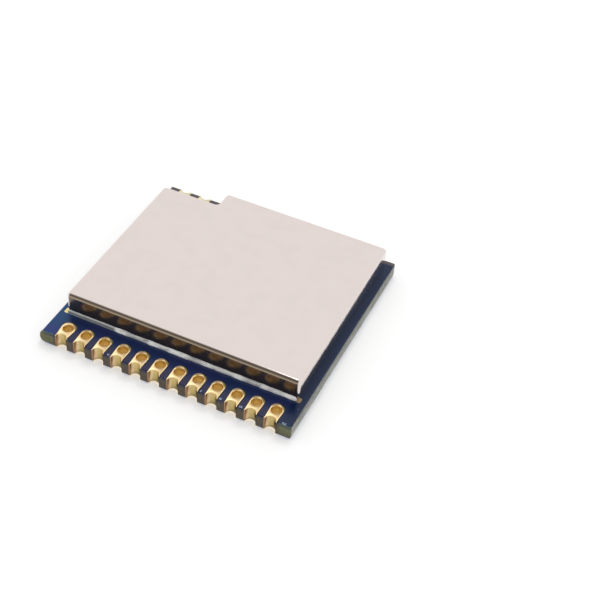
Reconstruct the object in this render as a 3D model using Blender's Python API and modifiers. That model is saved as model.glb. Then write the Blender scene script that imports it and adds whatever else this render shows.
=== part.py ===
import bpy
import bmesh
from math import cos, pi, radians, sin
from mathutils import Matrix

# Radio module: a circuit board with plated half-holes along one edge and a soldered shield can.
# Sizes are in millimetres. Each piece is modelled at one unit to the millimetre, because fills,
# bevels and welds have fixed tolerances that suit larger work, and is then scaled to metres.
# The board's underside lies at z = 0 with its centre at the origin and its pad row at -Y.

METRES_PER_UNIT = 0.001

# Clearances and plating
FIT = 0.01
PLATING = 0.05
MASK_CLEARANCE = 0.06
MASK_RISE = 0.01

# Circuit board
BOARD_WIDTH = 19.6
BOARD_DEPTH = 19.0
BOARD_THICKNESS = 1.2
BOARD_CORNER = 0.12

# Plated pads along the front edge
PIN_COUNT = 12
PIN_PITCH = 1.5
PIN_HOLE_INSET = 1.0
PIN_HOLE_RADIUS = 0.4
EDGE_HOLE_RADIUS = 0.4
PAD_WIDTH = 1.05
FIRST_PAD_WIDTH = 1.25
TOP_PAD_LENGTH = 1.6
BOTTOM_PAD_LENGTH = 1.85

# Antenna pads along the back edge
ANTENNA_INSET = 1.3
ANTENNA_PITCH = 1.76
ANTENNA_HOLE_INSET = 0.95
ANTENNA_HOLE_RADIUS = 0.44
ANTENNA_EDGE_RADIUS = 0.45
ANTENNA_EDGE_OFFSET = 0.2
ANTENNA_MOUTH = 1.0
ANTENNA_PAD_WIDTH = 1.25
ANTENNA_GROUND_WIDTH = 1.35
ANTENNA_TOP_LENGTH = 1.6
ANTENNA_BOTTOM_LENGTH = 1.8

# Shield can
CAN_HEIGHT = 1.8
CAN_SHEET = 0.2
CAN_BEND = 0.26
CAN_CORNER = 0.3
CAN_LEFT_MARGIN = 0.58
CAN_RIGHT_MARGIN = 0.6
CAN_FRONT_MARGIN = 2.42
CAN_BACK_MARGIN = 0.65
NOTCH_WIDTH = 4.75
NOTCH_DEPTH = 1.6

# Tabs of the can, their plated slots and the land that the can is soldered to
SLOT_OFFSET = -0.25
SLOT_LENGTH = 1.85
SLOT_WIDTH = 0.42
SLOT_RIM = 0.27
TAB_END_CLEARANCE = 0.1
TAB_DEPTH = 0.6
TAB_LAP = 0.45
LAND_OUTSIDE = 0.15
LAND_INSIDE = 0.3

# Solder beads
BEAD_WIDTH = 0.14
BEAD_HEIGHT = 0.34
BEAD_END_GAP = 0.15
BEAD_END_SCALE = 0.35
BEAD_TAPER_SHARE = 0.11
BEAD_HOLLOW = 0.5
BEAD_SWELL = 0.22
BEAD_WAVES = 5
BEAD_STATIONS = 16
BEAD_CURVE_STEPS = 3

# Chips and small parts under the can
SOLDER_FILM = 0.03
CHIP_SIZE = (6.0, 6.0, 0.85)
CHIP_PLACE = (1.6, 0.2)
CHIP_EDGE = 0.08
CHIP_CONTACTS_PER_SIDE = 7
CHIP_CONTACT_PITCH = 0.65
CHIP_CONTACT_WIDTH = 0.3
CHIP_CONTACT_HEIGHT = 0.2
CHIP_CONTACT_REACH = 0.04
CRYSTAL_SIZE = (2.5, 3.2, 0.45)
CRYSTAL_LID_HEIGHT = 0.25
CRYSTAL_LID_INSET = 0.15
CRYSTAL_PLACE = (6.9, 0.2)
SWITCH_SIZE = (2.1, 1.25, 0.95)
SWITCH_PLACE = (-6.2, 4.3)
SWITCH_LEAD_PITCH = 0.65
SWITCH_LEAD_WIDTH = 0.25
SWITCH_LEAD_HEIGHT = 0.15
SWITCH_SPAN = 2.1
CHIP_PART_END = 0.22
CHIP_PART_CAP = 0.02
CAPACITOR_SIZE = (1.0, 0.5, 0.5)
INDUCTOR_SIZE = (1.6, 0.8, 0.8)
RESISTOR_SIZE = (1.0, 0.5, 0.35)
FRONT_ROW = {"count": 8, "pitch": 1.95, "y": -4.8}
BACK_ROW = {"count": 4, "pitch": 1.7, "y": 5.2}
COIL_COLUMN = {"count": 5, "pitch": 1.7, "x": -3.3}
RESISTOR_COLUMN = {"count": 3, "pitch": 1.5, "x": -6.9}
RESISTOR_COLUMN_CENTRE = -0.8

# Facets of the round shapes
HOLE_STEPS = 20
PAD_END_STEPS = 10
CORNER_STEPS = 4
BEND_STEPS = 3
SMOOTH_ANGLE = radians(40)
WELD_DISTANCE = 0.0001
CUT_PAST = 0.5

# Places worked out from the sizes above
PIN_ROW_LENGTH = (PIN_COUNT - 1) * PIN_PITCH
BOARD_LEFT = -BOARD_WIDTH / 2
BOARD_FRONT = -BOARD_DEPTH / 2
BOARD_BACK = BOARD_DEPTH / 2
CAN_LEFT = BOARD_LEFT + CAN_LEFT_MARGIN
CAN_RIGHT = BOARD_WIDTH / 2 - CAN_RIGHT_MARGIN
CAN_FRONT = BOARD_FRONT + CAN_FRONT_MARGIN
CAN_BACK = BOARD_BACK - CAN_BACK_MARGIN
NOTCH_SIDE = CAN_LEFT + NOTCH_WIDTH
NOTCH_WALL = CAN_BACK - NOTCH_DEPTH
TOP_LAND = BOARD_THICKNESS - MASK_RISE
BOTTOM_LAND = MASK_RISE
WALLS_TOP = TOP_LAND - PLATING / 2
WALLS_BOTTOM = BOTTOM_LAND + PLATING / 2
POCKET_DEPTH = MASK_RISE + PLATING + FIT
SLOT_CENTRES = [
    (SLOT_OFFSET, CAN_FRONT + CAN_SHEET / 2),
    (SLOT_OFFSET, CAN_BACK - CAN_SHEET / 2),
]


def clear_scene():
    for old in list(bpy.data.objects):
        bpy.data.objects.remove(old, do_unlink=True)


def make_collection(name):
    collection = bpy.data.collections.new(name)
    bpy.context.scene.collection.children.link(collection)
    return collection


def make_material(name, color, roughness, metallic):
    material = bpy.data.materials.new(name)
    material.use_nodes = True
    shader = material.node_tree.nodes["Principled BSDF"]
    shader.inputs["Base Color"].default_value = (*color, 1.0)
    shader.inputs["Roughness"].default_value = roughness
    shader.inputs["Metallic"].default_value = metallic
    material.diffuse_color = (*color, 1.0)
    return material


# Outlines, each a list of points in order round its shape

def arc(x, y, radius, start, end, steps):
    angles = [start + (end - start) * step / steps for step in range(steps + 1)]
    return [(x + radius * cos(angle), y + radius * sin(angle)) for angle in angles]


def circle(x, y, radius):
    return arc(x, y, radius, 0, 2 * pi, HOLE_STEPS)[:-1]


def stadium(x, y, length, width):
    reach = (length - width) / 2
    right = arc(x + reach, y, width / 2, -pi / 2, pi / 2, PAD_END_STEPS // 2)
    left = arc(x - reach, y, width / 2, pi / 2, 3 * pi / 2, PAD_END_STEPS // 2)
    return right + left


def rounded_outline(corners, radii):
    points = []
    for index, (x, y) in enumerate(corners):
        before = corners[index - 1]
        after = corners[(index + 1) % len(corners)]
        toward_before = unit_step(before[0] - x, before[1] - y)
        toward_after = unit_step(after[0] - x, after[1] - y)
        radius = radii[index]
        centre_x = x + radius * (toward_before[0] + toward_after[0])
        centre_y = y + radius * (toward_before[1] + toward_after[1])
        for step in range(CORNER_STEPS + 1):
            turn = pi / 2 * step / CORNER_STEPS
            out_x = toward_after[0] * cos(turn) + toward_before[0] * sin(turn)
            out_y = toward_after[1] * cos(turn) + toward_before[1] * sin(turn)
            points.append((centre_x - radius * out_x, centre_y - radius * out_y))
    return points


def unit_step(x, y):
    length = abs(x) + abs(y)
    return x / length, y / length


def board_outline():
    right, back = BOARD_WIDTH / 2, BOARD_BACK
    corners = [(-right, -back), (right, -back), (right, back), (-right, back)]
    return rounded_outline(corners, [BOARD_CORNER] * 4)


def can_outline(offset):
    # The can's plan, grown by the offset, with its notch around the antenna pads
    left, right = CAN_LEFT - offset, CAN_RIGHT + offset
    front, back = CAN_FRONT - offset, CAN_BACK + offset
    side, wall = NOTCH_SIDE - offset, NOTCH_WALL + offset
    corners = [(left, front), (right, front), (right, back), (side, back), (side, wall), (left, wall)]
    convex = max(CAN_CORNER + offset, CAN_SHEET / 2)
    concave = max(CAN_CORNER - offset, CAN_SHEET / 2)
    return rounded_outline(corners, [convex] * 4 + [concave, convex])


def land_outline(pad, length, grow):
    # A tongue with a round end, grown by a clearance and running out past the board's edge
    half = pad["width"] / 2 + grow
    mouth = pad["mouth"] / 2 + grow
    end = arc(0, length - pad["width"] / 2, half, 0, pi, PAD_END_STEPS)
    return [(mouth, -CUT_PAST), (mouth, 0), *end, (-mouth, 0), (-mouth, -CUT_PAST)]


def hole_outlines(pad, grow):
    # The hole through a pad and the hole that the board's edge runs through
    return [
        circle(0, pad["hole_inset"], pad["hole_radius"] + grow),
        circle(0, -pad["edge_offset"], pad["edge_radius"] + grow),
    ]


def slot_outlines(grow):
    return [stadium(x, y, SLOT_LENGTH + 2 * grow, SLOT_WIDTH + 2 * grow) for x, y in SLOT_CENTRES]


def placed(points, pad):
    turn = -1 if pad["at_back"] else 1
    edge = BOARD_BACK if pad["at_back"] else BOARD_FRONT
    return [(pad["x"] + turn * x, edge + turn * y) for x, y in points]


# Solids

def link(name, mesh, collection):
    thing = bpy.data.objects.new(name, mesh)
    collection.objects.link(thing)
    if collection.hide_render:
        thing.hide_render = True
        thing.display_type = "WIRE"
    return thing


def evaluated_mesh(thing):
    bpy.context.view_layer.update()
    depsgraph = bpy.context.evaluated_depsgraph_get()
    return bpy.data.meshes.new_from_object(thing.evaluated_get(depsgraph))


def weld(mesh):
    work = bmesh.new()
    work.from_mesh(mesh)
    bmesh.ops.remove_doubles(work, verts=work.verts, dist=WELD_DISTANCE)
    bmesh.ops.recalc_face_normals(work, faces=work.faces)
    work.to_mesh(mesh)
    work.free()


def plate(name, outlines, bottom, top, collection):
    # A flat plate between two heights, where an outline inside another is an opening
    curve = bpy.data.curves.new(name, "CURVE")
    curve.dimensions = "2D"
    curve.fill_mode = "BOTH"
    curve.extrude = (top - bottom) / 2
    for points in outlines:
        spline = curve.splines.new("POLY")
        spline.points.add(len(points) - 1)
        spline.use_cyclic_u = True
        for point, (x, y) in zip(spline.points, points):
            point.co = (x, y, 0, 1)
    drawn = link(name, curve, collection)
    mesh = evaluated_mesh(drawn)
    bpy.data.objects.remove(drawn, do_unlink=True)
    bpy.data.curves.remove(curve)
    mesh.transform(Matrix.Translation((0, 0, (bottom + top) / 2)))
    weld(mesh)
    mesh.name = name
    return link(name, mesh, collection)


def block(name, size, centre, collection):
    # A box whose centre gives its place in X and Y and whose third value is its lower face
    work = bmesh.new()
    lift = Matrix.Translation((centre[0], centre[1], centre[2] + size[2] / 2))
    bmesh.ops.create_cube(work, size=1.0, matrix=lift @ Matrix.Diagonal((*size, 1)))
    mesh = bpy.data.meshes.new(name)
    work.to_mesh(mesh)
    work.free()
    return link(name, mesh, collection)


def combine(thing, tools, operation):
    for tool in tools:
        step = thing.modifiers.new(operation.title(), "BOOLEAN")
        step.operation = operation
        step.solver = "EXACT"
        step.object = tool
    mesh = evaluated_mesh(thing)
    thing.modifiers.clear()
    thing.data = mesh
    weld(mesh)
    for tool in tools:
        bpy.data.objects.remove(tool, do_unlink=True)
    return thing


def finish(thing, material):
    thing.data.materials.clear()
    thing.data.materials.append(material)
    thing.data.shade_smooth()
    thing.data.set_sharp_from_angle(angle=SMOOTH_ANGLE)
    return thing


# Plated pads

def pin_pads():
    pads = []
    for index in range(PIN_COUNT):
        width = FIRST_PAD_WIDTH if index == 0 else PAD_WIDTH
        pads.append({
            "name": f"pad_{index + 1:02d}",
            "x": index * PIN_PITCH - PIN_ROW_LENGTH / 2,
            "at_back": False,
            "width": width,
            "mouth": width,
            "top": TOP_PAD_LENGTH,
            "bottom": BOTTOM_PAD_LENGTH,
            "hole_inset": PIN_HOLE_INSET,
            "hole_radius": PIN_HOLE_RADIUS,
            "edge_radius": EDGE_HOLE_RADIUS,
            "edge_offset": 0.0,
        })
    return pads


def antenna_pads():
    widths = {"antenna_pad": ANTENNA_PAD_WIDTH, "antenna_ground_pad": ANTENNA_GROUND_WIDTH}
    pads = []
    for index, (name, width) in enumerate(widths.items()):
        pads.append({
            "name": name,
            "x": BOARD_LEFT + ANTENNA_INSET + index * ANTENNA_PITCH,
            "at_back": True,
            "width": width,
            "mouth": ANTENNA_MOUTH,
            "top": ANTENNA_TOP_LENGTH,
            "bottom": ANTENNA_BOTTOM_LENGTH,
            "hole_inset": ANTENNA_HOLE_INSET,
            "hole_radius": ANTENNA_HOLE_RADIUS,
            "edge_radius": ANTENNA_EDGE_RADIUS,
            "edge_offset": ANTENNA_EDGE_OFFSET,
        })
    return pads


def plated_pad(pad, collection, cutters):
    # Two lands joined by the wall of the hole and the wall of the half-hole in the board's edge
    upper, lower = land_outline(pad, pad["top"], 0), land_outline(pad, pad["bottom"], 0)
    thing = plate(pad["name"], [upper], TOP_LAND - PLATING, TOP_LAND, collection)
    tools = [
        plate("lower_land", [lower], BOTTOM_LAND, BOTTOM_LAND + PLATING, cutters),
        plate("walls", hole_outlines(pad, PLATING), WALLS_BOTTOM, WALLS_TOP, cutters),
    ]
    combine(thing, tools, "UNION")
    holes = plate("holes", hole_outlines(pad, 0), -CUT_PAST, BOARD_THICKNESS + CUT_PAST, cutters)
    past_size = (pad["width"] + 2 * CUT_PAST, 2 * CUT_PAST, BOARD_THICKNESS + 2 * CUT_PAST)
    past_edge = block("past_edge", past_size, (0, -CUT_PAST, -CUT_PAST), cutters)
    return combine(thing, [holes, past_edge], "DIFFERENCE")


def place_pad(thing, pad):
    edge = BOARD_BACK if pad["at_back"] else BOARD_FRONT
    thing.location = (pad["x"], edge, 0)
    thing.rotation_euler.z = pi if pad["at_back"] else 0


def build_pads(collection, cutters, material):
    shared = {}
    for pad in pin_pads() + antenna_pads():
        key = (pad["width"], pad["at_back"])
        if key in shared:
            thing = link(pad["name"], shared[key], collection)
        else:
            thing = finish(plated_pad(pad, collection, cutters), material)
            shared[key] = thing.data
        place_pad(thing, pad)


# Circuit board

def drill_outlines(pads):
    wall = PLATING + FIT
    outlines = []
    for pad in pads:
        outlines += [placed(hole, pad) for hole in hole_outlines(pad, wall)]
    return outlines + slot_outlines(wall)


def top_openings(pads):
    outlines = [placed(land_outline(pad, pad["top"], MASK_CLEARANCE), pad) for pad in pads]
    outlines.append(can_outline(LAND_OUTSIDE + MASK_CLEARANCE))
    outlines.append(can_outline(-CAN_SHEET - LAND_INSIDE - MASK_CLEARANCE))
    return outlines


def bottom_openings(pads):
    outlines = [placed(land_outline(pad, pad["bottom"], MASK_CLEARANCE), pad) for pad in pads]
    return outlines + slot_outlines(SLOT_RIM + MASK_CLEARANCE)


def build_board(collection, cutters, material):
    pads = pin_pads() + antenna_pads()
    top = BOARD_THICKNESS
    board = plate("circuit_board", [board_outline()], 0, top, collection)
    tools = [
        plate("drills", drill_outlines(pads), -CUT_PAST, top + CUT_PAST, cutters),
        plate("top_mask_openings", top_openings(pads), top - POCKET_DEPTH, top + CUT_PAST, cutters),
        plate("bottom_mask_openings", bottom_openings(pads), -CUT_PAST, POCKET_DEPTH, cutters),
    ]
    return finish(combine(board, tools, "DIFFERENCE"), material)


# Land for the can, with the plated walls and lower rims of its two slots

def build_ground_ring(collection, cutters, material):
    outlines = [can_outline(LAND_OUTSIDE), can_outline(-CAN_SHEET - LAND_INSIDE)]
    ring = plate("ground_ring", outlines, TOP_LAND - PLATING, TOP_LAND, collection)
    walls = plate("slot_walls", slot_outlines(PLATING), WALLS_BOTTOM, WALLS_TOP, cutters)
    rims = plate("slot_rims", slot_outlines(SLOT_RIM), BOTTOM_LAND, BOTTOM_LAND + PLATING, cutters)
    combine(ring, [walls, rims], "UNION")
    slots = plate("slots", slot_outlines(0), -CUT_PAST, BOARD_THICKNESS + CUT_PAST, cutters)
    return finish(combine(ring, [slots], "DIFFERENCE"), material)


# Shield can

def open_can(collection):
    # The can's outside as one sheet, open at the bottom, with its bends and corners rounded
    bottom = BOARD_THICKNESS + FIT
    top = BOARD_THICKNESS + CAN_HEIGHT
    work = bmesh.new()
    lid = work.faces.new([work.verts.new((x, y, top)) for x, y in can_outline(0)])
    rim_edges = list(lid.edges)
    grown = bmesh.ops.extrude_edge_only(work, edges=rim_edges)
    lower = [item for item in grown["geom"] if isinstance(item, bmesh.types.BMVert)]
    bmesh.ops.translate(work, verts=lower, vec=(0, 0, bottom - top))
    bmesh.ops.recalc_face_normals(work, faces=work.faces)
    bmesh.ops.bevel(work, geom=rim_edges, offset=CAN_BEND, offset_type="OFFSET", segments=BEND_STEPS,
                    profile=0.5, affect="EDGES", clamp_overlap=True)
    mesh = bpy.data.meshes.new("shield_can")
    work.to_mesh(mesh)
    work.free()
    return link("shield_can", mesh, collection)


def build_can(collection, cutters, material):
    can = open_can(collection)
    sheet = can.modifiers.new("Sheet", "SOLIDIFY")
    sheet.thickness = CAN_SHEET
    sheet.offset = -1
    sheet.use_even_offset = True
    tab_size = (SLOT_LENGTH - 2 * TAB_END_CLEARANCE, CAN_SHEET, TAB_DEPTH + TAB_LAP)
    tabs = [block("tab", tab_size, (x, y, BOARD_THICKNESS - TAB_DEPTH), cutters)
            for x, y in SLOT_CENTRES]
    return finish(combine(can, tabs, "UNION"), material)


# Solder beads between the can's walls and its land

def bead_section(scale, outward):
    # A fillet from the land up to the wall, between a straight slope and a hollow quarter round
    width, height = BEAD_WIDTH * scale, BEAD_HEIGHT * scale
    points = [(0, 0)]
    for step in range(BEAD_CURVE_STEPS + 1):
        turn = pi / 2 * step / BEAD_CURVE_STEPS
        slope = step / BEAD_CURVE_STEPS
        out = 1 - slope - BEAD_HOLLOW * (sin(turn) - slope)
        up = slope - BEAD_HOLLOW * (slope - 1 + cos(turn))
        points.append((outward * width * out, height * up))
    return points


def build_bead(name, left, right, wall, outward, collection, material):
    base = BOARD_THICKNESS + FIT
    work = bmesh.new()
    loops = []
    for station in range(BEAD_STATIONS + 1):
        share = station / BEAD_STATIONS
        inward = min(1.0, min(share, 1 - share) / BEAD_TAPER_SHARE)
        taper = BEAD_END_SCALE + (1 - BEAD_END_SCALE) * inward
        scale = taper * (1 - BEAD_SWELL * sin(2 * pi * BEAD_WAVES * share) ** 2)
        x = left + (right - left) * share
        section = bead_section(scale, outward)
        loops.append([work.verts.new((x, wall + outward * FIT + y, base + z)) for y, z in section])
    for near, far in zip(loops, loops[1:]):
        for index in range(len(near)):
            work.faces.new((near[index - 1], near[index], far[index], far[index - 1]))
    work.faces.new(loops[0])
    work.faces.new(loops[-1])
    bmesh.ops.recalc_face_normals(work, faces=work.faces)
    mesh = bpy.data.meshes.new(name)
    work.to_mesh(mesh)
    work.free()
    return finish(link(name, mesh, collection), material)


def build_solder(collection, material):
    end = CAN_CORNER + BEAD_END_GAP
    build_bead("front_solder", CAN_LEFT + end, CAN_RIGHT - end, CAN_FRONT, -1, collection, material)
    build_bead("back_solder", NOTCH_SIDE + end, CAN_RIGHT - end, CAN_BACK, 1, collection, material)


# Parts under the can

def bevelled(thing, width):
    work = bmesh.new()
    work.from_mesh(thing.data)
    top = max(vertex.co.z for vertex in work.verts)
    edges = [edge for edge in work.edges if all(abs(v.co.z - top) < WELD_DISTANCE for v in edge.verts)]
    bmesh.ops.bevel(work, geom=edges, offset=width, offset_type="OFFSET", segments=1,
                    profile=0.5, affect="EDGES", clamp_overlap=True)
    work.to_mesh(thing.data)
    work.free()
    return thing


def build_transceiver(collection, cutters, material):
    # A flat square package with rows of contacts at the foot of its four sides
    base = BOARD_THICKNESS + SOLDER_FILM
    body = bevelled(block("transceiver", CHIP_SIZE, (*CHIP_PLACE, base), collection), CHIP_EDGE)
    tools = []
    for index in range(CHIP_CONTACTS_PER_SIDE):
        along = (index - (CHIP_CONTACTS_PER_SIDE - 1) / 2) * CHIP_CONTACT_PITCH
        long_x = CHIP_SIZE[0] + 2 * CHIP_CONTACT_REACH
        long_y = CHIP_SIZE[1] + 2 * CHIP_CONTACT_REACH
        for size, shift in (
            ((CHIP_CONTACT_WIDTH, long_y, CHIP_CONTACT_HEIGHT), (along, 0)),
            ((long_x, CHIP_CONTACT_WIDTH, CHIP_CONTACT_HEIGHT), (0, along)),
        ):
            place = (CHIP_PLACE[0] + shift[0], CHIP_PLACE[1] + shift[1], base)
            tools.append(block("contacts", size, place, cutters))
    return finish(combine(body, tools, "UNION"), material)


def build_crystal(collection, cutters, material):
    base = BOARD_THICKNESS + SOLDER_FILM
    body = block("crystal", CRYSTAL_SIZE, (*CRYSTAL_PLACE, base), collection)
    lid_size = (CRYSTAL_SIZE[0] - 2 * CRYSTAL_LID_INSET, CRYSTAL_SIZE[1] - 2 * CRYSTAL_LID_INSET,
                CRYSTAL_SIZE[2] + CRYSTAL_LID_HEIGHT)
    lid = bevelled(block("lid", lid_size, (*CRYSTAL_PLACE, base), cutters), CHIP_EDGE)
    return finish(combine(body, [lid], "UNION"), material)


def build_switch(collection, cutters, material):
    base = BOARD_THICKNESS + SOLDER_FILM
    lift = SWITCH_LEAD_HEIGHT / 2
    x, y = SWITCH_PLACE
    body_size = (SWITCH_SIZE[0], SWITCH_SIZE[1], SWITCH_SIZE[2] - lift)
    body = bevelled(block("antenna_switch", body_size, (x, y, base + lift), collection), CHIP_EDGE)
    lead_size = (SWITCH_LEAD_WIDTH, SWITCH_SPAN, SWITCH_LEAD_HEIGHT)
    leads = [block("lead", lead_size, (x + step * SWITCH_LEAD_PITCH, y, base), cutters)
             for step in (-1, 0, 1)]
    return finish(combine(body, leads, "UNION"), material)


def build_small_part(name, size, place, collection, cutters, material):
    # A ceramic block with a slightly larger metal cap on each end
    base = BOARD_THICKNESS + SOLDER_FILM
    x, y = place
    body_size = (size[0] - CHIP_PART_END, size[1] - 2 * CHIP_PART_CAP, size[2] - 2 * CHIP_PART_CAP)
    body = block(name, body_size, (x, y, base + CHIP_PART_CAP), collection)
    cap_size = (CHIP_PART_END, size[1], size[2])
    reach = (size[0] - CHIP_PART_END) / 2
    caps = [block("cap", cap_size, (x + side * reach, y, base), cutters) for side in (-1, 1)]
    return finish(combine(body, caps, "UNION"), material)


def row_places(row, centre_x):
    return [(centre_x + (index - (row["count"] - 1) / 2) * row["pitch"], row["y"])
            for index in range(row["count"])]


def column_places(column, centre_y):
    return [(column["x"], centre_y + (index - (column["count"] - 1) / 2) * column["pitch"])
            for index in range(column["count"])]


def build_small_parts(collection, cutters, materials):
    groups = [
        ("capacitor", CAPACITOR_SIZE, row_places(FRONT_ROW, 0) + row_places(BACK_ROW, CHIP_PLACE[0])),
        ("inductor", INDUCTOR_SIZE, column_places(COIL_COLUMN, CHIP_PLACE[1])),
        ("resistor", RESISTOR_SIZE, column_places(RESISTOR_COLUMN, RESISTOR_COLUMN_CENTRE)),
    ]
    for kind, size, places in groups:
        for index, place in enumerate(places):
            name = f"{kind}_{index + 1:02d}"
            build_small_part(name, size, place, collection, cutters, materials[kind])


def scale_to_metres(collection):
    scale = Matrix.Scale(METRES_PER_UNIT, 4)
    for mesh in {thing.data for thing in collection.objects}:
        mesh.transform(scale)
    for thing in collection.objects:
        thing.location *= METRES_PER_UNIT


def main():
    clear_scene()
    parts = make_collection("lora_module")
    cutters = make_collection("cutters")
    cutters.hide_render = True
    gold = make_material("gold_plating", (0.86, 0.66, 0.33), 0.28, 1.0)
    solder = make_material("solder", (0.70, 0.71, 0.72), 0.30, 1.0)
    epoxy = make_material("moulded_epoxy", (0.03, 0.03, 0.035), 0.55, 0.0)
    small_parts = {
        "capacitor": make_material("capacitor_ceramic", (0.42, 0.29, 0.18), 0.50, 0.0),
        "inductor": make_material("inductor_ceramic", (0.55, 0.60, 0.66), 0.50, 0.0),
        "resistor": make_material("resistor_ceramic", (0.05, 0.05, 0.05), 0.45, 0.0),
    }
    build_board(parts, cutters, make_material("blue_board", (0.02, 0.05, 0.17), 0.30, 0.0))
    build_pads(parts, cutters, gold)
    build_ground_ring(parts, cutters, gold)
    build_can(parts, cutters, make_material("tinned_sheet", (0.78, 0.75, 0.72), 0.25, 1.0))
    build_solder(parts, solder)
    build_transceiver(parts, cutters, epoxy)
    build_switch(parts, cutters, epoxy)
    build_crystal(parts, cutters, make_material("crystal_case", (0.72, 0.68, 0.58), 0.35, 1.0))
    build_small_parts(parts, cutters, small_parts)
    scale_to_metres(parts)


main()
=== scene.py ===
from math import copysign, cos, pi, radians, sin

import bmesh
import bpy
from mathutils import Matrix, Vector, noise


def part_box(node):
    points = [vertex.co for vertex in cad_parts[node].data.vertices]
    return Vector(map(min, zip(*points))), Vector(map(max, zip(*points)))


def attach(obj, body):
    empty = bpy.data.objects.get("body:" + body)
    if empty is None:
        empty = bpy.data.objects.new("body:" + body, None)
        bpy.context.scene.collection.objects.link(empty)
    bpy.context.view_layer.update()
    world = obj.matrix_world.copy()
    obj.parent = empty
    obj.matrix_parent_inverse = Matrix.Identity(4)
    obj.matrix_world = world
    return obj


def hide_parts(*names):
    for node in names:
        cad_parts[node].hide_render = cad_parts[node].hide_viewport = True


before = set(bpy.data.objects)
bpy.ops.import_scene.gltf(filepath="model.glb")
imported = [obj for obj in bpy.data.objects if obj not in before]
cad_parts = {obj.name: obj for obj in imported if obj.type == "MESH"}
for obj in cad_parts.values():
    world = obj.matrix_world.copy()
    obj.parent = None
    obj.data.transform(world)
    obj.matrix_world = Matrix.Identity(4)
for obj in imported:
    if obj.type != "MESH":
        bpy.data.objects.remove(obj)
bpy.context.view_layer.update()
print("the packed module is loaded")

# Pieces are modelled with one unit to the millimetre and brought to metres when they are placed,
# because bevels, welds and cuts work with fixed distances.
metresPerUnit = 0.001
unitsPerMetre = 1 / metresPerUnit
cutPast = 0.5          # how far a cutter runs past what it cuts
weldGap = 0.0001
fullRound = 0.998      # the share of half a width that rounds its whole end


def boxOf(node):
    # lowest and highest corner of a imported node, in millimetres
    low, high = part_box(node)
    return low * unitsPerMetre, high * unitsPerMetre


# making and placing meshes


def addBlock(work, low, high):
    low, high = Vector(low), Vector(high)
    place = Matrix.Translation((low + high) / 2) @ Matrix.Diagonal((*(high - low), 1))
    return bmesh.ops.create_cube(work, size=1, matrix=place)["verts"]


def addDrum(work, x, y, radius, low, high, steps, upperRadius=None):
    place = Matrix.Translation((x, y, (low + high) / 2))
    upper = radius if upperRadius is None else upperRadius
    bmesh.ops.create_cone(work, cap_ends=True, segments=steps, radius1=radius, radius2=upper,
                          depth=high - low, matrix=place)


def vertsIn(items):
    return [item for item in items if isinstance(item, bmesh.types.BMVert)]


def uprightEdges(verts, test=lambda spot: True):
    # the edges between a block's vertices that run straight up, where test allows their place
    return [edge for vert in verts for edge in vert.link_edges
            if edge.verts[0] is vert and edge.other_vert(vert) in verts
            and (vert.co - edge.other_vert(vert).co).xy.length < weldGap and test(vert.co)]


def roundEdges(work, edges, width, steps):
    return bmesh.ops.bevel(work, geom=edges, offset=width, offset_type="OFFSET", segments=steps,
                           profile=0.5, affect="EDGES", clamp_overlap=True, material=-1)


def liesAt(item, height):
    return all(abs(vert.co.z - height) < weldGap for vert in item.verts)


def sharpEdgesAt(work, height, angle=0.6):
    return [edge for edge in work.edges
            if liesAt(edge, height) and len(edge.link_faces) == 2 and edge.calc_face_angle() > angle]


def keepFlat(work, height, margin):
    # a narrow rim round the flat faces at a height takes the turn to their rounded edges,
    # so that the rest looks flat
    flat = [face for face in work.faces if liesAt(face, height)]
    bmesh.ops.inset_region(work, faces=flat, thickness=margin, use_even_offset=True, use_boundary=True)


def shareAt(table, x):
    # a smooth curve through a table's places and values
    for (x0, share0), (x1, share1) in zip(table, table[1:]):
        if x <= x1:
            step = min(1, max(0, (x - x0) / (x1 - x0)))
            return share0 + (share1 - share0) * step * step * (3 - 2 * step)
    return table[-1][1]


def linked(name, data):
    thing = bpy.data.objects.new(name, data)
    bpy.context.scene.collection.objects.link(thing)
    return thing


def pieceFrom(work, name):
    # an object from a bmesh that is still in millimetres
    mesh = bpy.data.meshes.new(name)
    work.to_mesh(mesh)
    work.free()
    return linked(name, mesh)


def closedPiece(work, name):
    # the same, with the faces turned outwards
    bmesh.ops.recalc_face_normals(work, faces=work.faces)
    return pieceFrom(work, name)


def shapeOf(piece):
    # the piece's mesh with its modifiers applied
    bpy.context.view_layer.update()
    depsgraph = bpy.context.evaluated_depsgraph_get()
    return bpy.data.meshes.new_from_object(piece.evaluated_get(depsgraph))


def applyModifiers(piece):
    mesh = shapeOf(piece)
    piece.modifiers.clear()
    piece.data = mesh


def combine(piece, tool, operation):
    step = piece.modifiers.new(operation.title(), "BOOLEAN")
    step.operation = operation
    step.solver = "EXACT"
    step.object = tool
    applyModifiers(piece)
    bpy.data.objects.remove(tool, do_unlink=True)
    return piece


def cut(piece, work):
    return combine(piece, pieceFrom(work, "cutter"), "DIFFERENCE")


def join(piece, work):
    return combine(piece, pieceFrom(work, "addition"), "UNION")


def remake(piece, change):
    # runs change on a bmesh of the piece, with doubled vertices merged first
    work = bmesh.new()
    work.from_mesh(piece.data)
    bmesh.ops.remove_doubles(work, verts=work.verts, dist=weldGap)
    change(work)
    work.to_mesh(piece.data)
    work.free()


def roundRim(piece, height, width, steps):
    remake(piece, lambda work: roundEdges(work, sharpEdgesAt(work, height), width, steps))


def place(piece, finish, nodes=(), slot=None, smoothAngle=35):
    # brings a piece to metres, gives it its finish and hides the imported nodes that it stands for; slot is
    # not used
    piece.data.transform(Matrix.Scale(metresPerUnit, 4))
    piece.data.materials.clear()
    piece.data.materials.append(finish)
    piece.data.shade_smooth()
    piece.data.set_sharp_from_angle(angle=radians(smoothAngle))
    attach(piece, "root")
    if nodes:
        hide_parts(*nodes)


# shader maths


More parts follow.
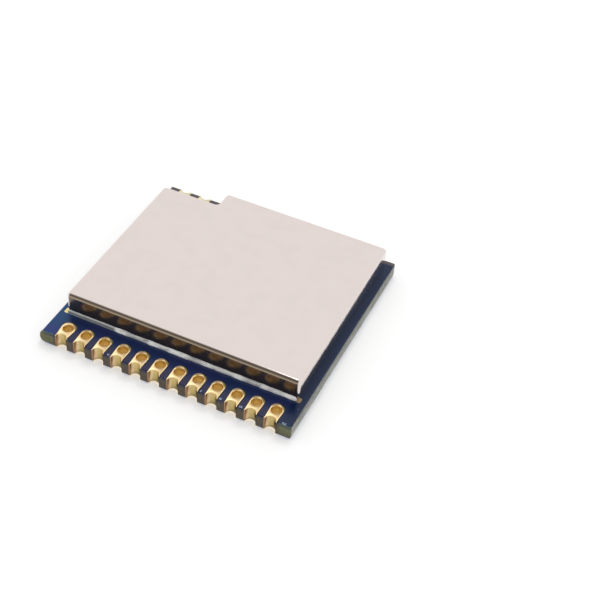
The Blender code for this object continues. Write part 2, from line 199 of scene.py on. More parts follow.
def joinedBy(operation, swapped=False):
    # a method that joins two values in a Math node
    def joined(self, other):
        first, second = (other, self) if swapped else (self, other)
        return self.finish.node("Math", {"operation": operation}, {0: first, 1: second})
    return joined


class Value:
    # a socket of a material that can stand in a sum
    def __init__(self, finish, socket):
        self.finish = finish
        self.socket = socket

    def math(self, operation):
        return self.finish.node("Math", {"operation": operation}, {0: self})

    def __abs__(self):
        return self.math("ABSOLUTE")

    __add__ = joinedBy("ADD")
    __radd__ = joinedBy("ADD", True)
    __sub__ = joinedBy("SUBTRACT")
    __rsub__ = joinedBy("SUBTRACT", True)
    __mul__ = joinedBy("MULTIPLY")
    __rmul__ = joinedBy("MULTIPLY", True)
    __truediv__ = joinedBy("DIVIDE")
    __rtruediv__ = joinedBy("DIVIDE", True)
    __or__ = joinedBy("MAXIMUM")
    __lt__ = joinedBy("LESS_THAN")


class Finish:
    # a material, or the world, and what its nodes are made with
    def __init__(self, name, world=False):
        owner = bpy.data.worlds if world else bpy.data.materials
        self.made = owner.new(name)
        self.made.use_nodes = True
        self.tree = self.made.node_tree
        self.tree.nodes.clear()

    def node(self, kind, settings=None, inputs=None, output=0):
        made = self.tree.nodes.new("ShaderNode" + kind)
        for key, value in (settings or {}).items():
            if key == "stops":
                self.setStops(made.color_ramp.elements, value)
            else:
                setattr(made, key, value)
        for key, value in (inputs or {}).items():
            if isinstance(value, Value):
                self.tree.links.new(value.socket, made.inputs[key])
            else:
                made.inputs[key].default_value = value
        return Value(self, made.outputs[output]) if len(made.outputs) else None

    def setStops(self, elements, stops):
        while len(elements) < len(stops):
            elements.new(1)
        for element, (position, color) in zip(elements, stops):
            element.position = position
            element.color = color

    def spot(self):
        # Object coordinates
        return self.node("TexCoord", output=3)

    def axes(self):
        # their three parts in millimetres
        parts =[self.node("SeparateXYZ", None, {0: self.spot()}, index) for index in range(3)]
        return [part * unitsPerMetre for part in parts]

    def scaled(self, size, stretch=(1, 1, 1)):
        scale = [unitsPerMetre / size * axis for axis in stretch]
        return self.node("VectorMath", {"operation": "MULTIPLY"}, {0: self.spot(), 1: scale})

    def noise(self, size, detail=2.0, roughness=0.5, distortion=0.0, stretch=(1, 1, 1)):
        # fractal noise, whose patches are about size millimetres
        return self.node("TexNoise", None, {"Vector": self.scaled(size, stretch), "Scale": 1.0,
                                            "Detail": detail, "Roughness": roughness,
                                            "Distortion": distortion})

    def shader(self, **inputs):
        named = {key.replace("_", " "): value for key, value in inputs.items()}
        surface = self.node("BsdfPrincipled", None, named)
        self.node("OutputMaterial", None, {"Surface": surface})
        return self.made


def ease(value, start, end):
    # 0 at start and 1 at end, with a soft change between them
    return value.finish.node("MapRange", {"interpolation_type": "SMOOTHSTEP"},
                             {"Value": value, "From Min": start, "From Max": end})


def spread(value, low, high):
    # a value of 0 to 1 moved to low to high
    return value * (high - low) + low


def band(value, low, high, soft=0.05):
    return ease(value, low - soft, low + soft) * (1 - ease(value, high - soft, high + soft))


def stripes(value, pitch):
    return ease((value * (2 * pi / pitch)).math("SINE"), 0.0, 0.5)


def mix(share, first, second):
    return share.finish.node("Mix", {"data_type": "RGBA", "clamp_factor": True},
                             {0: share, 6: first, 7: second}, 2)


def layered(style, base, *layers):
    # colours laid over a base one after the other, each by its share; a name is one of the style's
    for share, colour in layers:
        base = mix(share, style.get(base, base), style.get(colour, colour))
    return base


def bump(height, distance, strength, under=None):
    inputs = {"Height": height, "Strength": strength, "Distance": distance * metresPerUnit}
    if under is not None:
        inputs["Normal"] = under
    return height.finish.node("Bump", None, inputs)


def rgb(red, green, blue):
    # a colour as it is read off a screen, as linear light
    def linear(level):
        share = level / 255
        return share / 12.92 if share <= 0.04045 else ((share + 0.055) / 1.055) ** 2.4
    return (linear(red), linear(green), linear(blue), 1.0)


# camera

cameraView = {
    "focalLength": 76.785,
    "sensorWidth": 36.0,
    "place": (30.503, -62.618, 65.832),
    "right": (0.905418, 0.419631, 0.064251),
    "up": (-0.329308, 0.598742, 0.730112),
    "back": (0.267909, -0.682215, 0.680299),
    "clipStart": 0.001,
    "clipEnd": 10.0,
}


def makeCamera():
    lens = bpy.data.cameras.new("camera")
    lens.lens = cameraView["focalLength"]
    lens.sensor_width = cameraView["sensorWidth"]
    lens.clip_start = cameraView["clipStart"]
    lens.clip_end = cameraView["clipEnd"]
    camera = linked("camera", lens)
    turn = Matrix((cameraView["right"], cameraView["up"], cameraView["back"])).transposed().to_4x4()
    camera.matrix_world = Matrix.Translation(Vector(cameraView["place"]) * metresPerUnit) @ turn
    bpy.context.scene.camera = camera


makeCamera()
print("camera placed")


# board: a laminate core between two films of solder mask

boardStyle = {
    "cornerRadius": 0.12,
    "cornerSteps": 8,
    "filmThickness": 0.12,
    "filmEdge": 0.02,
    "filmEdgeSteps": 2,
    "flatRim": 0.008,
    "holeSteps": 40,
    "roundSteps": 14,
    "maskGrow": 0.03,          # the mask opening beyond a land
    "maskShift": (0.04, 0.03),     # the mask is printed a little off the lands
    "plating": 0.05,
    "flare": 0.09,             # radius of the half-holes' rounded mouths
    "rollOver": 0.10,          # the mask is rounded over the board's edges
    "rollSteps": 4,
}

boardLow, boardHigh = boxOf("circuit_board")
padNames = [f"pad_{index + 1:02d}" for index in range(12)]
padNames += ["antenna_pad", "antenna_ground_pad"]

pinPad = {"hole": 0.4, "holeInset": 1.0, "edgeHole": 0.4, "edgeOffset": 0.0, "top": 1.6, "bottom": 1.85,
          "mouth": 0.92, "back": False}
antennaPad = {"hole": 0.44, "holeInset": 0.95, "edgeHole": 0.45, "edgeOffset": 0.2, "top": 1.6,
              "bottom": 1.8, "mouth": 1.0, "back": True}


def padOf(name):
    low, high = boxOf(name)
    kind = antennaPad if name.startswith("antenna") else pinPad
    return {**kind, "name": name, "x": (low.x + high.x) / 2, "width": high.x - low.x,
            "low": low.z, "high": high.z, "edge": boardHigh.y if kind["back"] else boardLow.y,
            "inward": -1 if kind["back"] else 1}


pads = [padOf(name) for name in padNames]


def inFrom(pad, distance):
    # y at a distance in from the edge that the pad is on
    return pad["edge"] + pad["inward"] * distance


def spanOf(pad, near, far):
    return sorted((inFrom(pad, near), inFrom(pad, far)))


def holesOf(pad):
    # y and radius of the plated hole, and of the half-hole in the board's edge
    return [(inFrom(pad, pad["holeInset"]), pad["hole"]), (inFrom(pad, -pad["edgeOffset"]), pad["edgeHole"])]


def addTongue(work, pad, length, grow, low, high, shift=(0, 0)):
    # a land's outline as a block: its inner end is round and its outer end runs past the board
    half = pad["width"] / 2 + grow
    slope = (pad["width"] - pad["mouth"]) / 2 / (length - pad["width"] / 2)
    outer = pad["mouth"] / 2 + grow - slope * cutPast
    near, far = spanOf(pad, -cutPast, length + grow)
    x = pad["x"] + shift[0]
    verts = addBlock(work, (x - half, near, low), (x + half, far, high))
    inner = inFrom(pad, length + grow)
    for vert in verts:
        if abs(vert.co.y - inner) > weldGap:
            vert.co.x = x + (outer if vert.co.x > x else -outer)
    edges = uprightEdges(verts, lambda spot: abs(spot.y - inner) < weldGap)
    rounded = roundEdges(work, edges, half * fullRound, boardStyle["roundSteps"])
    if any(shift):
        touched = {vert for vert in verts if vert.is_valid} | set(rounded["verts"])
        bmesh.ops.translate(work, verts=list(touched), vec=(0, shift[1], 0))


def flareOf(somePads, grow, low, high, steps):
    # the half-holes' mouths open in a curve: blocks at the edge, less the drums that shape them
    flare = boardStyle["flare"]
    blocks, rounds = bmesh.new(), bmesh.new()
    for pad in [pad for pad in somePads if not pad["back"]]:
        reach = ((pad["edgeHole"] + flare) ** 2 - flare ** 2) ** 0.5
        near, far = spanOf(pad, -cutPast, flare)
        addBlock(blocks, (pad["x"] - reach, near, low), (pad["x"] + reach, far, high))
        for side in (-1, 1):
            addDrum(rounds, pad["x"] + side * reach, inFrom(pad, flare), flare - grow,
                    low - cutPast, high + cutPast, steps)
    return cut(pieceFrom(blocks, "flare"), rounds)


def slab(name, low, high):
    # the board's outline between two heights
    work = bmesh.new()
    edges = uprightEdges(addBlock(work, (*boardLow.xy, low), (*boardHigh.xy, high)))
    roundEdges(work, edges, boardStyle["cornerRadius"], boardStyle["cornerSteps"])
    return pieceFrom(work, name)


# the can's plan has a notch round the antenna pads
canStyle = {
    "sheet": 0.2,
    "bend": 0.26,
    "bendSteps": 8,
    "corner": 0.3,
    "leastCorner": 0.1,
    "cornerSteps": 8,
    "flatRim": 0.02,
    "standOff": 0.01,
    "notchWidth": 4.75,
    "notchDepth": 1.6,
    "landOutside": 0.15,
    "landInside": 0.3,
    "tabDepth": 0.6,
    "tabClearance": 0.1,
    "maskGap": -0.05,          # the mask runs up under the can's unsoldered walls
    # bare corners of the land: left, right, and front to back from the can's front wall
    "landTabs": [(-9.46, -9.0, -0.10, 0.44), (9.0, 9.40, -0.14, 0.34)],
    "landTabCorner": 0.12,
    "landTabSteps": 6,
    "landTabSink": 0.001,
}
canBox = boxOf("shield_can")

# slots that the can's tabs go through
slotStyle = {"x": -0.25, "length": 1.85, "width": 0.42, "rim": 0.27}
slotRows = [canBox[0].y + canStyle["sheet"] / 2, canBox[1].y - canStyle["sheet"] / 2]


def addSlot(work, row, grow, low, high):
    # a slot's outline with round ends as a block, grown by a distance
    middle = Vector((slotStyle["x"], row))
    half = Vector((slotStyle["length"] / 2 + grow, slotStyle["width"] / 2 + grow))
    verts = addBlock(work, (*(middle - half), low), (*(middle + half), high))
    roundEdges(work, uprightEdges(verts), half.y * fullRound, boardStyle["roundSteps"])


def canPlan(work, grow, height):
    # the can's plan as one face with round corners, grown by a distance
    low, high = canBox
    left, right, front, back = low.x - grow, high.x + grow, low.y - grow, high.y + grow
    side, wall = low.x + canStyle["notchWidth"] - grow, high.y - canStyle["notchDepth"] + grow
    corners = [(left, front), (right, front), (right, back), (side, back), (side, wall), (left, wall)]
    verts = [work.verts.new((x, y, height)) for x, y in corners]
    work.faces.new(verts)
    convex = max(canStyle["corner"] + grow, canStyle["leastCorner"])
    concave = max(canStyle["corner"] - grow, canStyle["leastCorner"])
    for chosen, radius in ((verts[:4] + verts[5:], convex), (verts[4:5], concave)):
        bmesh.ops.bevel(work, geom=chosen, offset=radius, offset_type="OFFSET", profile=0.5,
                        segments=canStyle["cornerSteps"], affect="VERTICES", material=-1)
    return [item for item in work.faces if item.is_valid][-1]


def ringBetween(name, outerGrow, innerGrow, low, high):
    # a closed ring between two sizes of the can's plan
    work = bmesh.new()
    canPlan(work, outerGrow, low)
    canPlan(work, innerGrow, low)
    edges = list(work.edges)
    bmesh.ops.delete(work, geom=list(work.faces), context="FACES_ONLY")
    bridged = bmesh.ops.bridge_loops(work, edges=edges)["faces"]
    raised = vertsIn(bmesh.ops.extrude_face_region(work, geom=bridged)["geom"])
    bmesh.ops.translate(work, verts=raised, vec=(0, 0, high - low))
    return closedPiece(work, name)


def landTabs(low, high):
    work = bmesh.new()
    front = canBox[0].y
    for left, right, near, far in canStyle["landTabs"]:
        verts = addBlock(work, (left, front + near, low), (right, front + far, high))
        roundEdges(work, uprightEdges(verts), canStyle["landTabCorner"], canStyle["landTabSteps"])
    return pieceFrom(work, "land_tabs")


# how wide the fillets stand out along the walls, as shares of their full width
frontSwell = [
    (-9.0, 0.9), (-8.3, 0.92), (-6.0, 0.95), (-5.3, 0.90), (-5.0, 1.08), (-4.4, 1.04), (-4.0, 0.92),
    (-2.8, 0.90), (-2.5, 1.08), (-1.6, 1.06), (-1.3, 0.92), (-0.9, 1.08), (0.4, 1.08), (1.0, 0.94),
    (2.1, 1.04), (2.6, 0.95), (3.4, 1.05), (4.1, 0.92), (4.6, 1.08), (5.8, 0.92), (6.6, 1.08),
    (7.3, 0.98), (8.6, 1.0), (9.0, 0.9),
]
backSwell = [
    (-4.4, 0.9), (-3.5, 1.0), (-1.0, 0.92), (1.5, 1.05), (4.0, 0.94), (6.5, 1.04), (8.3, 0.95), (8.8, 0.9),
]
filletStyle = {
    "lengthSteps": 300,
    "sectionSteps": 7,
    "lumps": 0.2,
    "lumpsPerUnit": 2.3,
    "ripple": 0.02,
    "ripplesPerUnit": 7.0,
    "reachPast": 0.36,
    "taper": 110,              # how steeply the ends come up, from the least share
    "endShare": 0.3,
    "narrow": 0.8,
    "evenHeight": 0.55,        # the share of the height that doesn't follow the width
    "sag": 0.30,               # fuller than a plain hollow curve
    "most": (1.12, 1.1),       # the most that the width and the height reach
    "mouth": 0.05,             # the mask opens from this far inside the foot
    "mouthDepth": 0.3,
}


# plated-through vias seen on the underside: by the dimple's radius, x and y from the board's centre
viaSpots = {
    0.10: [(-9.25, -6.3), (-9.25, -1.22), (-7.6, -6.45), (9.2, -5.9), (7.55, -5.6), (-5.75, 4.13),
           (-0.6, 2.7), (-0.62, 3.7), (-9.2, 4.9), (0.27, 2.55), (9.2, -1.6), (4.7, -1.5)],
    0.13: [(-9.25, -3.55), (-8.35, 0.08), (-3.0, 0.25), (-2.0, -4.65), (-1.4, -2.05), (-1.7, -0.72),
           (-0.43, -0.55), (0.1, -4.6), (2.97, -4.52), (9.15, -4.0), (-9.25, 1.15), (-7.8, 1.8),
           (-5.95, 1.95), (-9.25, 3.1), (-4.25, 4.35), (-4.17, 5.3), (-1.6, 1.55), (-1.55, 2.65),
           (-1.6, 4.8), (-0.6, 1.5), (-3.9, 6.7), (-5.9, 7.05), (-1.95, 7.45), (-3.05, 8.65), (0.27, 1.55),
           (2.15, 1.5), (1.25, 2.65), (2.15, 2.55), (0.4, 3.7), (1.3, 3.65), (0.3, 4.8), (1.0, 7.48),
           (1.85, 7.45), (9.22, 0.7), (9.22, 2.95), (9.25, 8.3), (5.1, 8.95), (7.2, 9.0)],
    0.15: [(-6.9, 0.07), (-8.52, 3.6), (1.22, 1.5)],
    0.17: [(-1.6, 3.7), (-0.65, 4.85), (2.97, 7.45), (3.9, 7.8)],
    0.18: [(-3.77, 3.5)],
}
viaStyle = {"depth": 0.10, "flare": 0.015, "steps": 16}


def buildBoard(laminate, mask):
    thickness, film, wall = boardHigh.z, boardStyle["filmThickness"], boardStyle["plating"]
    steps, grow = boardStyle["holeSteps"], boardStyle["maskGrow"]
    through = (-cutPast, thickness + cutPast)
    core = slab("board_core", film, thickness - film)
    drills = bmesh.new()
    for pad in pads:
        for y, radius in holesOf(pad):
            addDrum(drills, pad["x"], y, radius + wall, *through, steps)
    for row in slotRows:
        addSlot(drills, row, wall, *through)
    cut(core, drills)
    combine(core, flareOf(pads, wall, *through, steps), "DIFFERENCE")
    place(core, laminate, ["circuit_board"], "solder_mask")

    topFilm = slab("top_mask", thickness - film, thickness)
    roundRim(topFilm, thickness, boardStyle["rollOver"], boardStyle["rollSteps"])
    sunk = (thickness - 2 * film, thickness + cutPast)
    openings = bmesh.new()
    for pad in pads:
        addTongue(openings, pad, pad["top"], grow, *sunk, boardStyle["maskShift"])
    cut(topFilm, openings)
    combine(topFilm, flareOf(pads, 0, *through, steps), "DIFFERENCE")
    inside = -canStyle["sheet"] - canStyle["landInside"] - grow
    combine(topFilm, ringBetween("ring", canStyle["maskGap"], inside, *sunk), "DIFFERENCE")
    combine(topFilm, landTabs(*sunk), "DIFFERENCE")
    strips = bmesh.new()
    ends = filletStyle["reachPast"]
    for node, outward in (("front_solder", -1), ("back_solder", 1)):
        low, high = boxOf(node)
        foot = (low.y if outward < 0 else high.y) - outward * filletStyle["mouth"]
        near, far = sorted((foot, foot - outward * filletStyle["mouthDepth"]))
        addBlock(strips, (low.x - ends, near, sunk[0]), (high.x + ends, far, sunk[1]))
    cut(topFilm, strips)
    roundRim(topFilm, thickness, boardStyle["filmEdge"], boardStyle["filmEdgeSteps"])
    remake(topFilm, lambda work: keepFlat(work, thickness, boardStyle["flatRim"]))
    place(topFilm, mask, ["circuit_board"], "solder_mask")

    lowFilm = slab("bottom_mask", 0, film)
    roundRim(lowFilm, 0, boardStyle["rollOver"], boardStyle["rollSteps"])
    openings = bmesh.new()
    for pad in pads:
        addTongue(openings, pad, pad["bottom"], grow, -cutPast, 2 * film)
    for row in slotRows:
        addSlot(openings, row, slotStyle["rim"] + grow, -cutPast, 2 * film)
    depth, flare = viaStyle["depth"], viaStyle["flare"]
    for radius, spots in viaSpots.items():
        for x, y in spots:
            addDrum(openings, x, y, radius + 2 * flare, -depth, depth, viaStyle["steps"], radius)
    cut(lowFilm, openings)
    combine(lowFilm, flareOf(pads, 0, *through, steps), "DIFFERENCE")
    remake(lowFilm, lambda work: keepFlat(work, 0, boardStyle["flatRim"]))
    place(lowFilm, mask, ["circuit_board"], "solder_mask")


# the routed edges are rough, with a stub of laminate left at the front left corner
edgeStyle = {
    "rough": 0.02,
    "grain": 0.35,
    "grainPerHeight": 6,
    "taper": 6,                # how steeply the skin comes up from its upper and lower edge
    "fade": 0.4,               # where it runs out before the board's corners
    "sink": 0.05,
    "steps": (150, 10),
    "swell": [(-9.4, 0.0), (-8.2, 0.25), (-6.6, 1.0), (-4.4, 0.9), (-3.2, 0.2), (9.4, 0.1)],
    "swellDepth": 0.09,
    "stubPlace": (-9.62, -9.22, 0.46),
    "stubSize": (0.55, 0.42, 0.52),
    "stubLumps": 0.1,
    "smoothAngle": 60,
}


def buildRoughEdge(name, side, laminate):
    # a thin rough skin along one side of the board, closed at its back
    x = boardHigh.x * side
    rough, taper = edgeStyle["rough"], edgeStyle["taper"]
    reach = boardHigh.y - 2 * boardStyle["cornerRadius"]
    film = boardStyle["filmThickness"]
    work = bmesh.new()
    lengthSteps, heightSteps = edgeStyle["steps"]
    bmesh.ops.create_grid(work, x_segments=lengthSteps, y_segments=heightSteps, size=0.5)
    for vert in work.verts:
        y, across = vert.co.x * 2 * reach, vert.co.y + 0.5
        z = film + (boardHigh.z - 2 * film) * across
        edge = min(1, taper * min(across, 1 - across)) * min(1, (reach - abs(y)) / edgeStyle["fade"])
        bulge = shareAt(edgeStyle["swell"], y) * edgeStyle["swellDepth"] if side > 0 else 0.0
        grain = noise.noise((y / edgeStyle["grain"], z * edgeStyle["grainPerHeight"], side * 3.0))
        out = edge * (bulge * (0.75 + 0.5 * grain) + rough * (0.6 + grain))
        vert.co = (x + side * out, y, z)
    boundary = [edge for edge in work.edges if edge.is_boundary]
    back = vertsIn(bmesh.ops.extrude_edge_only(work, edges=boundary)["geom"])
    bmesh.ops.translate(work, verts=back, vec=(-side * edgeStyle["sink"], 0, 0))
    bmesh.ops.contextual_create(work, geom=[edge for edge in work.edges if edge.is_boundary])
    place(closedPiece(work, name), laminate, ["circuit_board"], "solder_mask", edgeStyle["smoothAngle"])


def buildStub(laminate):
    work = bmesh.new()
    centre = Vector(edgeStyle["stubPlace"])
    shift = Matrix.Translation(centre) @ Matrix.Diagonal((*edgeStyle["stubSize"], 1))
    verts = bmesh.ops.create_icosphere(work, subdivisions=4, radius=1, matrix=shift)["verts"]
    for vert in verts:
        vert.co += (vert.co - centre) * edgeStyle["stubLumps"] * noise.noise(vert.co * 3)
        vert.co.z = min(boardHigh.z - weldGap, max(boardStyle["filmThickness"], vert.co.z))
    stub = closedPiece(work, "edge_stub")
    place(stub, laminate, ["circuit_board"], "solder_mask", edgeStyle["smoothAngle"])


# plated pads, and the land that the can is soldered to

padStyle = {
    "lip": 0.014,
    "lipSteps": 2,
    "holeSteps": 48,
    "flareLap": 0.4,           # the flare's walls end this share of the plating inside the lands
}


def roundLips(thing, heights):
    for height in heights:
        roundRim(thing, height, padStyle["lip"], padStyle["lipSteps"])


def padShape(pad):
    # two lands joined by the plated walls of the hole and of the half-hole in the board's edge
    plating, film, steps = boardStyle["plating"], boardStyle["filmThickness"], padStyle["holeSteps"]
    x, low, high = pad["x"], pad["low"], pad["high"]
    through = (low - cutPast, high + cutPast)
    upperLand, lowerLand = bmesh.new(), bmesh.new()
    addTongue(upperLand, pad, pad["top"], 0, high - film, high)
    addTongue(lowerLand, pad, pad["bottom"], 0, low, low + film)
    thing = join(pieceFrom(upperLand, "plated_" + pad["name"]), lowerLand)
    walls, holes = bmesh.new(), bmesh.new()
    for y, radius in holesOf(pad):
        addDrum(walls, x, y, radius + plating, low + plating / 2, high - plating / 2, steps)
        addDrum(holes, x, y, radius, *through, steps)
    join(thing, walls)
    if not pad["back"]:
        lap = plating * padStyle["flareLap"]
        combine(thing, flareOf([pad], plating, low + lap, high - lap, steps), "UNION")
        combine(thing, flareOf([pad], 0, *through, steps), "DIFFERENCE")
    cut(thing, holes)
    past = bmesh.new()
    reach = 2 * pad["width"]
    near, far = spanOf(pad, -2 * cutPast, 0)
    addBlock(past, (x - reach, near, low - cutPast), (x + reach, far, high + cutPast))
    cut(thing, past)
    roundLips(thing, (high, low))
    return thing


def buildPads(gold):
    # pads of one width and side are copies of the first
    shared = {}
    for pad in pads:
        key = (round(pad["width"], 3), pad["back"])
        if key in shared:
            firstPad, firstMesh = shared[key]
            mesh = firstMesh.copy()
            mesh.transform(Matrix.Translation((pad["x"] - firstPad["x"], 0, 0)))
            thing = linked("plated_" + pad["name"], mesh)
        else:
            thing = padShape(pad)
            shared[key] = (pad, thing.data.copy())
        place(thing, gold, [pad["name"]], "gold_plating")


def buildLand(gold):
    low, high = [corner.z for corner in boxOf("ground_ring")]
    plating, film = boardStyle["plating"], boardStyle["filmThickness"]
    inside = -canStyle["sheet"] - canStyle["landInside"]
    land = ringBetween("can_land", canStyle["landOutside"], inside, high - film, high)
    walls, slots = bmesh.new(), bmesh.new()
    for row in slotRows:
        addSlot(walls, row, plating, low + plating / 2, high - plating / 2)
        rim = bmesh.new()
        addSlot(rim, row, slotStyle["rim"], low, low + film)
        join(land, rim)
        addSlot(slots, row, 0, -cutPast, high + cutPast)
    join(land, walls)
    combine(land, landTabs(high - film * 0.9, high - canStyle["landTabSink"]), "UNION")
    cut(land, slots)
    roundLips(land, (high, low))
    place(land, gold, ["ground_ring"], "gold_plating")


# shield can


def buildCan(sheet):
    top, bottom = canBox[1].z, boardHigh.z + canStyle["standOff"]
    work = bmesh.new()
    rim = list(canPlan(work, 0, top).edges)
    lower = vertsIn(bmesh.ops.extrude_edge_only(work, edges=rim)["geom"])
    bmesh.ops.translate(work, verts=lower, vec=(0, 0, bottom - top))
    bmesh.ops.recalc_face_normals(work, faces=work.faces)
    roundEdges(work, rim, canStyle["bend"], canStyle["bendSteps"])
    keepFlat(work, top, canStyle["flatRim"])
    can = pieceFrom(work, "can_shell")
    wall = can.modifiers.new("Sheet", "SOLIDIFY")
    wall.thickness = canStyle["sheet"]
    wall.offset = -1
    wall.use_even_offset = True
    applyModifiers(can)
    tabs = bmesh.new()
    across = slotStyle["length"] / 2 - canStyle["tabClearance"]
    through = canStyle["sheet"] / 2
    for row in slotRows:
        addBlock(tabs, (slotStyle["x"] - across, row - through, boardHigh.z - canStyle["tabDepth"]),
                 (slotStyle["x"] + across, row + through, bottom + canStyle["sheet"]))
    join(can, tabs)
    place(can, sheet, ["shield_can"], "tinned_sheet", 25)


# solder fillets at the foot of the can


def buildFillet(name, node, outward, swell, solder):
    low, high = boxOf(node)
    wall = high.y if outward < 0 else low.y
    size = high - low
    past, even = filletStyle["reachPast"], filletStyle["evenHeight"]
    mostOut, mostUp = filletStyle["most"]
    work = bmesh.new()
    bmesh.ops.create_grid(work, x_segments=filletStyle["lengthSteps"],
                          y_segments=filletStyle["sectionSteps"], size=0.5)
    for vert in work.verts:
        along, turn = vert.co.x + 0.5, (vert.co.y + 0.5) * pi / 2
        x = low.x - past + (size.x + 2 * past) * along
        end = min(1, filletStyle["taper"] * min(along, 1 - along) + filletStyle["endShare"]) ** 0.5
        lump = filletStyle["lumps"] * noise.noise((x * filletStyle["lumpsPerUnit"], wall, 0.4))
        share = shareAt(swell, x) * end * (1 + lump)
        wave = filletStyle["ripple"] * noise.noise((x * filletStyle["ripplesPerUnit"], wall, turn * 2))
        full = (wave + filletStyle["sag"] * share) * sin(2 * turn)
        out = max(0, (1 - sin(turn)) * share + full)
        up = max(0, (1 - cos(turn)) * (even + (1 - even) * share) * end + full)
        vert.co = (x, wall + outward * size.y * filletStyle["narrow"] * min(mostOut, out),
                   low.z + size.z * min(mostUp, up))
    boundary = [edge for edge in work.edges if edge.is_boundary]
    for vert in vertsIn(bmesh.ops.extrude_edge_only(work, edges=boundary)["geom"]):
        vert.co.y, vert.co.z = wall, low.z
    bmesh.ops.remove_doubles(work, verts=work.verts, dist=weldGap)
    place(closedPiece(work, name), solder, [node], "solder", 60)


# print on the underside

printStyle = {
    "proud": 0.012,
    "sunk": 0.03,
    "line": 0.18,
    "columns": [-0.80, 1.70, 3.85, 5.95],
    "rows": [-2.58, 1.12, 7.35],
    "pinNumbers": 1.25,            # heights of the type
    "cellNumbers": 2.4,
    "pinInset": 3.55,
    "antennaInset": 3.0,
    "bold": 0.02,
    "dots": [(9.28, 8.75, 0.18), (2.48, 9.0, 0.05), (-4.2, -8.9, 0.04)],
    "dotSteps": 20,
    "markerPlace": (3.03, -1.35),
    "markerSize": (0.9, 2.25),
    "markerSteps": 72,
    "markerFullness": 0.8,         # an ellipse has 1, and less is fuller
    "markerNarrowing": 0.10,
    "markerRagged": 0.06,
    "markerProud": 0.02,
}


def addNumber(work, number, x, y, size):
    # it reads from below, and its top is towards the board's left side
    curve = bpy.data.curves.new("number", "FONT")
    curve.body = str(number)
    curve.size = size
    curve.extrude = printStyle["proud"]
    curve.offset = printStyle["bold"]
    curve.resolution_u = 4
    curve.align_x = curve.align_y = "CENTER"
    thing = linked("number", curve)
    mesh = shapeOf(thing)
    turn = Matrix(((0, -1, 0), (-1, 0, 0), (0, 0, -1))).to_4x4()
    mesh.transform(Matrix.Translation((x, y, 0)) @ turn)
    work.from_mesh(mesh)
    bpy.data.objects.remove(thing, do_unlink=True)


def buildTable(paint):
    half = printStyle["line"] / 2
    columns, rows = printStyle["columns"], printStyle["rows"]
    plate, cells = bmesh.new(), bmesh.new()
    addBlock(plate, (columns[0] - half, rows[0] - half, -printStyle["proud"]),
             (columns[-1] + half, rows[-1] + half, printStyle["sunk"]))
    for left, right in zip(columns, columns[1:]):
        for near, far in zip(rows, rows[1:]):
            addBlock(cells, (left + half, near + half, -cutPast), (right - half, far - half, cutPast))
    place(cut(pieceFrom(plate, "printed_table"), cells), paint, slot="solder_mask")


def buildNumbers(paint):
    columns, rows = printStyle["columns"], printStyle["rows"]
    work = bmesh.new()
    for index, pad in enumerate(pads):
        inset = printStyle["antennaInset"] if pad["back"] else printStyle["pinInset"]
        addNumber(work, index + 1, pad["x"], inFrom(pad, inset), printStyle["pinNumbers"])
    for index, (left, right) in enumerate(zip(columns, columns[1:])):
        addNumber(work, index + 1, (left + right) / 2, (rows[1] + rows[2]) / 2, printStyle["cellNumbers"])
    for x, y, radius in printStyle["dots"]:
        addDrum(work, x, y, radius, -printStyle["proud"], printStyle["sunk"], printStyle["dotSteps"])
    bmesh.ops.remove_doubles(work, verts=work.verts, dist=weldGap)
    place(pieceFrom(work, "printed_numbers"), paint, slot="solder_mask")


def buildPenMark(ink):
    # over one of the table's small cells
    fullness, proud = printStyle["markerFullness"], printStyle["markerProud"]
    (left, middle), (wide, tall) = printStyle["markerPlace"], printStyle["markerSize"]
    work = bmesh.new()
    disc = bmesh.ops.create_circle(work, cap_ends=True, segments=printStyle["markerSteps"], radius=1)
    for vert in disc["verts"]:
        narrow = 1 - printStyle["markerNarrowing"] * vert.co.y
        ragged = 1 + printStyle["markerRagged"] * noise.noise(vert.co * 2.6)
        x, y = [copysign(abs(part) ** fullness, part) for part in vert.co.xy]
        vert.co = (left + x * wide * narrow * ragged, middle + y * tall * ragged, -proud)
    raised = vertsIn(bmesh.ops.extrude_face_region(work, geom=list(work.faces))["geom"])
    bmesh.ops.translate(work, verts=raised, vec=(0, 0, proud + printStyle["sunk"] / 2))
    place(closedPiece(work, "pen_mark"), ink, slot="solder_mask")


# finishes: the places in them are in millimetres from the board's centre and its underside

maskStyle = {
    "blue": rgb(22, 40, 82),
    # painted sheen along the left side
    "light": rgb(24, 66, 116),
    "under": rgb(22, 60, 114),
    "purple": rgb(40, 34, 84),
    # painted shade for the mask below its top face
    "deep": rgb(24, 26, 36),
    "front": rgb(50, 40, 68),
    "back": rgb(92, 80, 80),
    # painted shadow on the strip right of the can
    "right": rgb(2, 26, 62),
    # painted sheen at the front left corner
    "corner": rgb(44, 50, 122),
    "cutSide": rgb(84, 102, 92),
    "chip": rgb(178, 190, 214),
    # painted highlights along the top of the front edge: places and half lengths
    "edgeGlints": [(-4.42, 0.10), (2.92, 0.06), (4.42, 0.12), (5.98, 0.15), (9.24, 0.20)],
    # edges of copper areas on the underside: left, right, near, far and the line's width
    "outlines": [(-5.2, -3.3, 3.0, 6.0, 0.14), (-3.1, -0.9, 7.3, 8.2, 0.14), (-8.9, -6.5, -0.5, 0.6, 0.14),
                 (-0.2, 1.5, 0.2, 0.9, 0.1), (4.2, 5.6, -2.2, 0.4, 0.1)],
    "scuff": rgb(196, 200, 206),
    "sheen": (0.78, 0.88, 1.0, 1.0),
    "roughness": (0.14, 0.28),
    "ior": 1.41,
}


